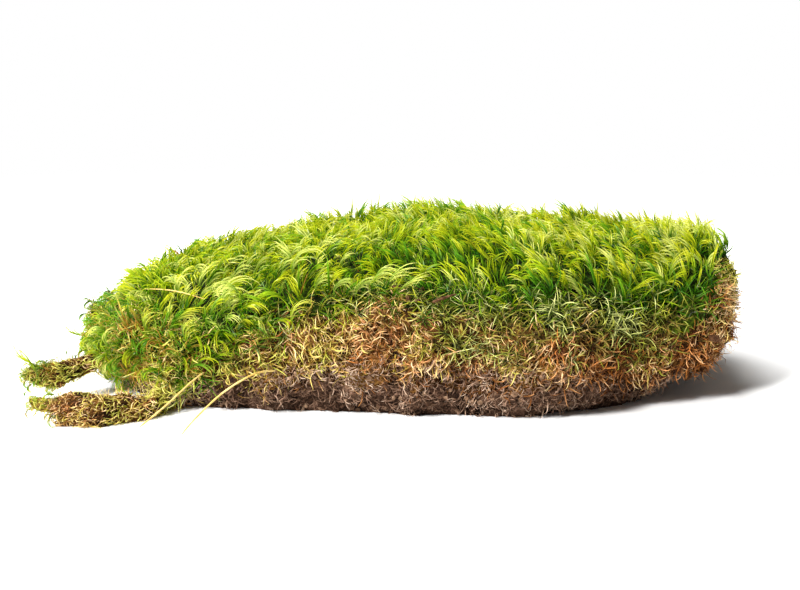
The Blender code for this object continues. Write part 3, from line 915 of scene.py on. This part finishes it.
def scatterTree():
    tree = bpy.data.node_groups.new("grow on ground", "GeometryNodeTree")
    add = functools.partial(addNode, tree)
    newSocket = tree.interface.new_socket
    for name, kind in (("Ground", "Geometry"), ("Models", "Collection"), ("Material", "Material")):
        newSocket(name, in_out="INPUT", socket_type="NodeSocket" + kind)
    kinds = {str: "NodeSocketString", float: "NodeSocketFloat", int: "NodeSocketInt"}
    for name, value in scatterDefaults.items():
        newSocket(name, in_out="INPUT", socket_type=kinds[type(value)]).default_value = value
    newSocket("Leaves", in_out="OUTPUT", socket_type="NodeSocketGeometry")
    given = add("NodeGroupInput").outputs

    # values that are read from the ground, drawn for each shoot, and drawn around what was read
    painted, chance, varied = {}, {}, {}
    for label in ("cover", "comb", "shade", "outward", "vigour", "hook", "tint") + placeLabels:
        source = given[label.title()] if label in ("cover", "comb", "shade") else label
        kind = "FLOAT_VECTOR" if label in ("comb", "outward") else "FLOAT"
        painted[label] = add("GeometryNodeInputNamedAttribute", {"Name": source}, data_type=kind)
    for offset, label in enumerate(("cover", "disorder", "turn", "size", "model", "shade"), start=10):
        seed = add("ShaderNodeMath", {0: given["Seed"], 1: float(offset)}, operation="ADD")
        kind, lowest, highest = "FLOAT", 0.0 if label == "cover" else -1.0, 1.0
        if label in ("disorder", "turn"):
            kind, lowest, highest = "FLOAT_VECTOR", (-1.0, -1.0, -1.0), (1.0, 1.0, 1.0)
        limits = {"Min": lowest, "Max": highest}
        chance[label] = add("FunctionNodeRandomValue", {**limits, "Seed": seed}, data_type=kind)
    for label, spread, middle in (
        ("size", "Size spread", 1.0),
        ("model", "Model mix", painted["hook"]),
        ("shade", "Shade spread", painted["shade"]),
    ):
        values = {0: chance[label], 1: given[spread], 2: middle}
        varied[label] = add("ShaderNodeMath", values, operation="MULTIPLY_ADD")

    # points on the ground, thinned out where the cover is low
    place = add("ShaderNodeSeparateXYZ", {"Vector": add("GeometryNodeInputPosition")}).outputs
    after = add("FunctionNodeCompare", {0: place[0], 1: given["From X"]}, operation="GREATER_THAN")
    before = add("FunctionNodeCompare", {0: place[0], 1: given["To X"]}, operation="LESS_EQUAL")
    scattered = add(
        "GeometryNodeDistributePointsOnFaces",
        {
            "Mesh": given["Ground"],
            "Selection": add("FunctionNodeBooleanMath", {0: after, 1: before}),
            "Distance Min": given["Spacing"],
            "Density Max": 1000000.0,  # so many that the spacing alone decides
            "Seed": given["Seed"],
        },
        distribute_method="POISSON",
    ).outputs
    oriented = add(
        "GeometryNodeStoreNamedAttribute",
        {"Geometry": scattered["Points"], "Name": "outward", "Value": scattered["Normal"]},
        data_type="FLOAT_VECTOR",
    )
    bare = add("FunctionNodeCompare", {0: chance["cover"], 1: painted["cover"]}, operation="GREATER_THAN")
    kept = add("GeometryNodeDeleteGeometry", {"Geometry": oriented, "Selection": bare})

    # each shoot stands along one vector and is turned towards another
    axis = None
    for vector, share in (
        (painted["outward"], "Out"),
        (add("ShaderNodeCombineXYZ", {"Z": 1.0}), "Rise"),
        (painted["comb"], "Lean"),
        (chance["disorder"], "Disorder"),
    ):
        part = add("ShaderNodeVectorMath", {0: vector, 3: given[share]}, operation="SCALE")
        axis = part if axis is None else add("ShaderNodeVectorMath", {0: axis, 1: part}, operation="ADD")
    strayed = add("ShaderNodeVectorMath", {0: chance["turn"], 3: given["Turn"]}, operation="SCALE")
    sweep = add("ShaderNodeVectorMath", {0: painted["comb"], 1: strayed}, operation="ADD")
    standing = add("FunctionNodeAlignRotationToVector", {"Vector": axis}, axis="Z")
    turned = add(
        "FunctionNodeAlignRotationToVector", {"Rotation": standing, "Vector": sweep}, axis="X", pivot_axis="Z"
    )
    size = add("ShaderNodeMath", {0: varied["size"], 1: painted["vigour"]}, operation="MULTIPLY")
    picked = add("ShaderNodeClamp", {"Value": varied["model"], "Min": 0.0, "Max": 0.999})
    models = {"Collection": given["Models"], "Separate Children": True, "Reset Children": True}
    placed = add(
        "GeometryNodeInstanceOnPoints",
        {
            "Points": kept,
            "Instance": add("GeometryNodeCollectionInfo", models),
            "Pick Instance": True,
            "Instance Index": add("ShaderNodeMath", {0: picked, 1: given["Model count"]}, operation="MULTIPLY"),
            "Rotation": turned,
            "Scale": add("ShaderNodeMath", {0: size, 1: given["Size"]}, operation="MULTIPLY"),
        },
    )
    tinted = add(
        "GeometryNodeStoreNamedAttribute",
        {"Geometry": placed, "Name": "tint", "Value": varied["shade"]},
        data_type="FLOAT",
        domain="INSTANCE",
    )
    real = add("GeometryNodeRealizeInstances", {"Geometry": tinted})

    # the place of each leaf on the palette map
    values = {0: painted["leafShade"], 1: given["Leaf shade"], 2: painted["tint"]}
    leafTint = add("ShaderNodeMath", values, operation="MULTIPLY_ADD")
    limits = {"Min": given["Least shade"], "Max": palette["lightest"]}
    held = add("ShaderNodeClamp", {"Value": leafTint, **limits})
    values = {0: painted["across"], 1: palette["leafWidth"], 2: held}
    across = add("ShaderNodeMath", values, operation="MULTIPLY_ADD")
    values = {0: painted["along"], 1: palette["height"], 2: palette["foot"]}
    along = add("ShaderNodeMath", values, operation="MULTIPLY_ADD")
    mapped = add(
        "GeometryNodeStoreNamedAttribute",
        {"Geometry": real, "Name": paletteMap, "Value": add("ShaderNodeCombineXYZ", {"X": across, "Y": along})},
        data_type="FLOAT2",
        domain="CORNER",
    )

    # leaves that would reach under the clump lie on the ground
    height = add("ShaderNodeMath", {0: place[2], 1: 0.1 * mm}, operation="MAXIMUM")
    lifted = add("ShaderNodeCombineXYZ", {"X": place[0], "Y": place[1], "Z": height})
    settled = add("GeometryNodeSetPosition", {"Geometry": mapped, "Position": lifted})
    finished = add("GeometryNodeSetMaterial", {"Geometry": settled, "Material": given["Material"]})
    add("NodeGroupOutput", {0: finished})
    return tree


growOnGround = scatterTree()


def grow(name, settings):
    modifier = shell.modifiers.new("grow", "NODES")
    modifier.node_group = growOnGround
    values = {**settings, "Model count": len(settings["Models"].objects)}
    for item in growOnGround.interface.items_tree:
        if item.in_out == "INPUT" and item.name in values:
            modifier[item.identifier] = values[item.name]
    mesh = evaluatedMesh(shell)
    mesh.name = name
    shell.modifiers.clear()
    dropPaint(mesh)
    print(name, "has", sum(len(p.vertices) - 2 for p in mesh.polygons), "triangles")
    return addObject(name, mesh)


crownSettings = {
    "Models": plumeModels, "Model mix": 0.35, "Material": livingLeaf, "Cover": "crownCover",
    "Spacing": 2.55 * mm, "Shade": "shade", "Shade spread": 0.3, "Leaf shade": 0.45, "Out": 0.5, "Rise": 0.7,
    "Lean": 0.14, "Disorder": 0.3, "Turn": 0.7, "Size": 1.22, "Size spread": 0.15,
}
wispyCrown = {**crownSettings, "Models": wispyModels, "Spacing": 2.3 * mm, "Leaf shade": 0.5}
rightCrown = {**crownSettings, "Spacing": 2.7 * mm, "Size": 1.36, "Least shade": 0.2}
topSettings = {
    **crownSettings,
    "Models": shortPlumeModels, "Cover": "topCover", "Spacing": 1.9 * mm, "Leaf shade": 0.3, "Least shade": 0.2,
    "Rise": 0.9, "Disorder": 0.32, "Size": 1.2,
}
shoulderSettings = {**topSettings, "Cover": "shoulderCover", "Spacing": 2.0 * mm, "Out": 0.3}
underLeafSettings = {
    **crownSettings,
    "Models": skirtModels, "Cover": "skirtCover", "Model mix": 1.0, "Spacing": 2.4 * mm, "Size": 0.85,
    "Shade": "underShade", "Shade spread": 0.15, "Leaf shade": 0.3, "Disorder": 0.4, "Turn": 2.0,
}
starTuftSettings = {
    **underLeafSettings,
    "Models": starModels, "Material": shadedLeaf, "Cover": "starCover", "Spacing": 1.7 * mm,
    "Shade": "starShade", "Shade spread": 0.38, "Leaf shade": 0.35, "Out": 0.9, "Rise": 0.15, "Lean": 0.15,
    "Size": 1.1,
}
greenStarSettings = {
    **starTuftSettings,
    "Material": livingLeaf, "Spacing": 3.6 * mm, "Cover": "greenStarCover", "Shade": "greenStarShade",
    "Least shade": 0.2, "Rise": 0.4, "Size": 1.2,
}
strandShootSettings = {**wispyCrown, "Cover": "strandGreen", "Spacing": 1.2 * mm, "Size": 0.8, "Lean": 0.7}
fringeSettings = {
    **wispyCrown,
    "Cover": "fringeCover", "Spacing": 2.1 * mm, "Out": 0.9, "Rise": 0.0, "Lean": 0.5, "Size": 1.15,
}
crownPieces = [
    grow("wispy_plumes", {**wispyCrown, "To X": -52 * mm, "Seed": 19, "Disorder": 0.5, "Size": 1.1}),
    grow("plumes_left", {**crownSettings, "From X": -52 * mm, "To X": -14 * mm, "Seed": 20}),
    grow("plumes_right", {**rightCrown, "From X": -14 * mm, "Seed": 21}),
    grow("top_plumes_left", {**topSettings, "To X": 0.0, "Seed": 23, "Least shade": 0.01}),
    grow("top_plumes_right", {**topSettings, "From X": 0.0, "Seed": 24}),
    grow("shoulder_plumes", {**shoulderSettings, "Seed": 25}),
    grow("under_leaves_left", {**underLeafSettings, "To X": 0.0, "Seed": 30}),
    grow("under_leaves_right", {**underLeafSettings, "From X": 0.0, "Seed": 31, "Least shade": 0.2}),
    grow("star_tufts", {**starTuftSettings, "Seed": 35}),
    grow("green_stars", {**greenStarSettings, "Seed": 36}),
    grow("strand_shoots", {**strandShootSettings, "Seed": 37}),
    grow("left_fringe", {**fringeSettings, "Seed": 39}),
]

deadLeafSettings = {
    "Models": deadModels, "Model mix": 1.0, "Material": deadLeaf, "Cover": "deadCover", "Comb": "deadComb",
    "Spacing": 1.12 * mm, "Shade": "deadShade", "Shade spread": 0.3, "Leaf shade": 0.4, "Out": 0.8,
    "Rise": -0.1, "Lean": 0.2, "Disorder": 0.4, "Turn": 0.5, "Size": 0.92, "Size spread": 0.3,
}
mattedLeafSettings = {
    **deadLeafSettings,
    "Models": mattedModels, "Cover": "mattedCover", "Spacing": 1.2 * mm, "Shade spread": 0.25, "Rise": 0.0,
    "Turn": 1.5, "Size": 0.9,
}
strandLeafSettings = {**deadLeafSettings, "Cover": "strandCover", "Spacing": 0.72 * mm, "Size": 0.8, "Rise": 0.3}
deadPieces = [
    grow("dead_leaves_left", {**deadLeafSettings, "To X": 4 * mm, "Seed": 40}),
    grow("dead_leaves_right", {**deadLeafSettings, "From X": 4 * mm, "Seed": 41}),
    grow("matted_leaves", {**mattedLeafSettings, "Seed": 43}),
    grow("strand_leaves", {**strandLeafSettings, "Seed": 45}),
]

feltSettings = {
    "Models": threadModels, "Model mix": 1.0, "Material": rhizoidThread, "Cover": "feltCover",
    "Spacing": 1.15 * mm, "Shade": "threadShade", "Shade spread": 0.3, "Leaf shade": 0.4, "Out": 1.0,
    "Rise": 0.0, "Lean": 0.1, "Disorder": 0.4, "Turn": 1.5, "Size": 0.9, "Size spread": 0.3,
}
soilSettings = {
    **feltSettings,
    "Models": crumbModels, "Material": humusCrumb, "Spacing": 1.6 * mm, "Size": 0.75, "Size spread": 0.6,
}
threadPiece = grow("rhizoid_threads", {**feltSettings, "Seed": 50})
crumbPiece = grow("soil_crumbs", {**soilSettings, "Seed": 55})


# Shoots that stand out in the photograph, placed one by one on the front

frontFoot = 50  # mm from the middle to the foot of the front, where heights in the picture start


def placeOnFront(across, up):
    # the ground's point that shows at this place of the picture, in mm from its middle and its foot
    shown = z * math.cos(viewRise) + (y + frontFoot) * math.sin(viewRise)
    hidden = skinNormals @ np.array([0, -math.cos(viewRise), math.sin(viewRise)]) < 0.1
    i = np.argmin(np.where(hidden, np.inf, (x - across) ** 2 + (shown - up) ** 2))
    return Vector(skin.points[i]), Vector(skinNormals[i])


def overFront(across, up, height):
    spot, outward = placeOnFront(across, up)
    return spot + outward * height


clawSettings = {
    **plumeSettings,
    "seed": 11, "core": 13, "rows": 7, "stem": 6.5 * mm, "stemShare": 0.12, "length": 8.5 * mm,
    "ruffSpread": (40, 18), "coreSpread": (22, 8), "coreClosing": 1.0, "width": 0.27 * mm, "lifted": 1.5 * mm,
    "shadeSpread": 0.25,
    # a hook whose leaves lie close together, like one pale band
    "closed": {
        "ruff": 1, "core": 8, "ruffSpread": (12, 6), "coreSpread": (8, 3), "stem": 2.0 * mm,
        "length": 12.0 * mm, "width": 0.42 * mm,
    },
    # their high shades pick the palest end of the palette, which is partly a painted highlight on the hooks
    # across and up in mm, lean to the right and hook to the right in degrees, size, shade, closed hook
    "claws": [
        (-42, 25, -25, 190, 1.1, 0.93, True),
        (-37.5, 26, -12, -200, 0.9, 0.9),
        (-25, 33, -22, 160, 1.0, 0.93, True),
        (-20.5, 29, -22, 240, 0.85, 0.97, True),
        (-15.5, 29, -20, 300, 1.05, 0.97, True),
        (-11, 28, -18, 280, 1.1, 0.95, True),
        (-7, 29, 5, 170, 0.95, 0.88),
        (-4, 29, 25, 70, 0.9, 0.95),
        (-2, 28, 42, 35, 0.85, 0.9),
        (-26, 22, -30, 150, 0.8, 0.85, True),
        (-66, 34, -10, 160, 0.8, 0.65, True),
        (-56, 20, 40, 60, 0.85, 0.8),
        (-61, 18, -25, 120, 0.75, 0.8),
        (-50, 16, -30, 140, 0.8, 0.85),
        (-71, 30, 10, 110, 0.75, 0.6),
        (35.5, 33, -35, -40, 0.85, 0.85),
        (47, 35, -14, -35, 0.9, 0.85),
        (60, 33, -25, -45, 0.85, 0.85),
        (67, 31, -12, 100, 0.8, 0.85),
        (53, 29, 40, 35, 0.75, 0.7),
        (24, 34, -50, -50, 0.85, 0.7),
        (-84, 17, -78, 75, 0.7, 0.62),
        (-87, 10.5, -62, 60, 0.85, 0.62),
        (-89, 9, -10, -70, 0.75, 0.66),
    ],
}


def claws(settings):
    chance = random.Random(settings["seed"])
    points, faces, places = [], [], []
    for across, up, lean, hook, size, shade, *closed in settings["claws"]:
        lean, bend = math.radians(lean), math.radians(abs(hook))
        openness = 0.35 + 0.65 * min(1, abs(hook) / 120)  # the straighter ones are closed like a spear
        shape = {**settings, "coreSpread": [openness * angle for angle in settings["coreSpread"]]}
        shape = {**shape, **(settings["closed"] if closed else {}), "hook": (bend, bend)}
        model = plume("claw", chance, shape, 0)
        spot = overFront(across, up, settings["lifted"])
        stem = Vector((math.sin(lean), -0.45, math.cos(lean))).normalized()
        sideways = Vector((math.copysign(math.cos(lean), hook), 0, -math.sin(lean)))
        sideways = (sideways - stem * sideways.dot(stem)).normalized()
        turn = Matrix((sideways, stem.cross(sideways), stem)).transposed()
        faces += [tuple(len(points) + i for i in face.vertices) for face in model.data.polygons]
        points += [spot + turn @ (v.co * size) for v in model.data.vertices]
        for along, over, tint in zip(*[[d.value for d in model.data.attributes[a].data] for a in placeLabels]):
            held = min(palette["lightest"], max(palette["darkest"], shade + settings["shadeSpread"] * tint))
            places.append((held + palette["leafWidth"] * over, palette["foot"] + palette["height"] * along))
        bpy.data.objects.remove(model)
    mesh = bpy.data.meshes.new("claw_shoots")
    mesh.from_pydata(points, [], faces)
    layer = mesh.uv_layers.new(name=paletteMap)
    layer.data.foreach_set("uv", [value for loop in mesh.loops for value in places[loop.vertex_index]])
    return smoothPiece("claw_shoots", mesh, livingLeaf)


crownPieces.append(claws(clawSettings))


# Loose things caught in the clump

looseSettings = {
    "blade": {
        "ends": [(-62, 28), (-46, 24.5)], "height": 4.5 * mm,
        "radii": [0.08 * mm, 0.16 * mm, 0.18 * mm, 0.14 * mm, 0.06 * mm], "arch": 1.0 * mm,
    },
    "twig": {
        "ends": [(7.5, 24.5), (15, 28.5)], "height": 4.0 * mm,
        "radii": [0.3 * mm, 0.4 * mm, 0.35 * mm, 0.12 * mm], "arch": 0.2 * mm,
    },
    "bark": {
        # across, up and radius in mm
        "places": [
            (-1, 28.5, 0.9), (1.5, 28, 1.1), (3.6, 27, 0.8),
            (5.2, 29, 0.8), (77, 19, 1.5), (72, 10.5, 1.3),
        ],
        "height": 2.2 * mm, "seed": 12,
    },
}


def stalk(name, settings, material):
    # a stalk that lies between two places of the front, a little arched
    first, last = [overFront(*end, settings["height"]) for end in settings["ends"]]
    curve = bpy.data.curves.new(name, "CURVE")
    curve.dimensions = "3D"
    curve.bevel_depth = mm
    curve.bevel_resolution = 2
    curve.use_fill_caps = True
    curve.resolution_u = 6
    line = curve.splines.new("NURBS")
    line.points.add(len(settings["radii"]) - 1)
    line.use_endpoint_u = True
    line.order_u = 4
    for i, radius in enumerate(settings["radii"]):
        share = i / (len(settings["radii"]) - 1)
        arch = Vector((0, -0.5, 1)) * settings["arch"] * math.sin(math.pi * share)
        line.points[i].co = (*(first.lerp(last, share) + arch), 1)
        line.points[i].radius = radius / mm
    route = addObject(name, curve)
    mesh = evaluatedMesh(route)
    bpy.data.objects.remove(route)
    return smoothPiece(name, mesh, material)


def barkFlakes(settings):
    chance = random.Random(settings["seed"])
    flakes = bmesh.new()
    for across, up, size in settings["places"]:
        spot = overFront(across, up, settings["height"])
        shift = Vector([chance.uniform(0, 90) for _ in range(3)])
        made = bmesh.ops.create_icosphere(flakes, subdivisions=3, radius=size * mm)
        turn = Quaternion(headingFrom(chance.uniform(0, 6), 1.2), chance.uniform(0, 3))
        for vertex in made["verts"]:
            rough = 1 + 0.5 * noise.noise(vertex.co / (size * mm) * 1.2 + shift)
            rough += 0.2 * noise.noise(vertex.co / (size * mm) * 4 + shift)
            vertex.co = spot + turn @ (vertex.co * rough * Vector((1, 0.75, 0.55)))
    mesh = bpy.data.meshes.new("bark_flakes")
    flakes.to_mesh(mesh)
    flakes.free()
    mesh.materials.append(weatheredBark)
    return addObject("bark_flakes", mesh)


loosePieces = [
    stalk("loose_blade", looseSettings["blade"], dryStraw),
    stalk("twig", looseSettings["twig"], weatheredBark),
    barkFlakes(looseSettings["bark"]),
]


# Straws: the CAD's own routes, rounded

strawSettings = {"thinner": 0.24 * mm, "rounding": 2}


def roundedStraw(name, node, settings):
    piece = mergedCopy(name, [node])
    thinner = piece.modifiers.new("thinner", "DISPLACE")
    thinner.mid_level = 0
    thinner.strength = -settings["thinner"]
    rounding = piece.modifiers.new("rounding", "SUBSURF")
    rounding.levels = rounding.render_levels = settings["rounding"]
    mesh = evaluatedMesh(piece)
    bpy.data.objects.remove(piece)
    return smoothPiece(name, mesh, dryStraw)


strawPieces = {
    "dry_straw_left": roundedStraw("straw_left_stalk", "dry_straw_left", strawSettings),
    "dry_straw_middle": roundedStraw("straw_middle_stalk", "dry_straw_middle", strawSettings),
}
print("loose things and straws are made")

bpy.data.objects.remove(shell)
groundPieces = [crownGround, stemGround, matGround, strandGround]
for piece in crownPieces + deadPieces + [threadPiece, crumbPiece] + groundPieces:
    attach(piece, "root")
for piece in loosePieces:
    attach(piece, "root")
for node, piece in strawPieces.items():
    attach(piece, "root")
    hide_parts(node)
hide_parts("shoot_crown")
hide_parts("stem_layer")
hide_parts("rhizoid_mat")
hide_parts("torn_strand_lower", "torn_strand_upper")


# Studio: white paper that fades into a white surround, a soft light from above and behind, a front fill

studioSettings = {
    "distance": 0.42, "lens": 70, "aim": (0.0, 0.0, 21 * mm), "surround": "#FFFFFF", "ambient": 0.16,
    "paper": "#F4F4F3", "paperRadius": 1.0,
    "fade": (0.25, 0.6),  # the paper is solid up to the first radius and gone at the second
    "lights": {
        "key": {"place": (-0.32, 0.2, 0.68), "power": 15.0, "size": 0.75},
        "fill": {"place": (-0.42, -0.58, 0.5), "power": 15.2, "size": 0.15},
    },
}


def paperMaterial(settings):
    material, add = emptyMaterial("white paper sweep")
    place = add("ShaderNodeTexCoord").outputs["Object"]
    away = add("ShaderNodeVectorMath", {0: place}, operation="LENGTH").outputs["Value"]
    limits = {"From Min": settings["fade"][0], "From Max": settings["fade"][1]}
    gone = add("ShaderNodeMapRange", {"Value": away, **limits}, interpolation_type="SMOOTHSTEP")
    paper = add("ShaderNodeBsdfPrincipled", {"Base Color": linear(settings["paper"]), "Roughness": 0.9})
    clear = add("ShaderNodeBsdfTransparent")
    mixed = add("ShaderNodeMixShader", {0: gone, 1: paper, 2: clear})
    add("ShaderNodeOutputMaterial", {"Surface": mixed})
    return material


def buildStudio(settings):
    bpy.ops.mesh.primitive_circle_add(vertices=96, radius=settings["paperRadius"], fill_type="NGON")
    floor = bpy.context.object
    floor.name = "floor"
    floor.data.materials.append(paperMaterial(settings))

    world = bpy.data.worlds.new("studio")
    bpy.context.scene.world = world
    world.use_nodes = True
    world.node_tree.nodes.clear()
    add = functools.partial(addNode, world.node_tree)
    seen = add("ShaderNodeLightPath").outputs["Is Camera Ray"]
    strength = add("ShaderNodeMapRange", {"Value": seen, "To Min": settings["ambient"], "To Max": 1.0})
    background = add("ShaderNodeBackground", {"Color": linear(settings["surround"]), "Strength": strength})
    add("ShaderNodeOutputWorld", {"Surface": background})

    aim = Vector(settings["aim"])
    for name, given in settings["lights"].items():
        light = bpy.data.lights.new(name, "AREA")
        light.energy = given["power"]
        light.size = given["size"]
        lamp = addObject(name, light)
        lamp.location = given["place"]
        lamp.rotation_euler = (aim - lamp.location).to_track_quat("-Z", "Y").to_euler()

    camera = addObject("camera", bpy.data.cameras.new("camera"))
    camera.data.lens = settings["lens"]
    camera.data.sensor_width = 36
    camera.location = aim + Vector((0, -math.cos(viewRise), math.sin(viewRise))) * settings["distance"]
    camera.rotation_euler = (aim - camera.location).to_track_quat("-Z", "Y").to_euler()
    bpy.context.scene.camera = camera
    bpy.context.scene.view_settings.view_transform = "Standard"


buildStudio(studioSettings)
print("studio is set up")

for kept in list(workshop.children):
    for model in list(kept.objects):
        bpy.data.objects.remove(model)
    bpy.data.collections.remove(kept)
bpy.data.collections.remove(workshop)
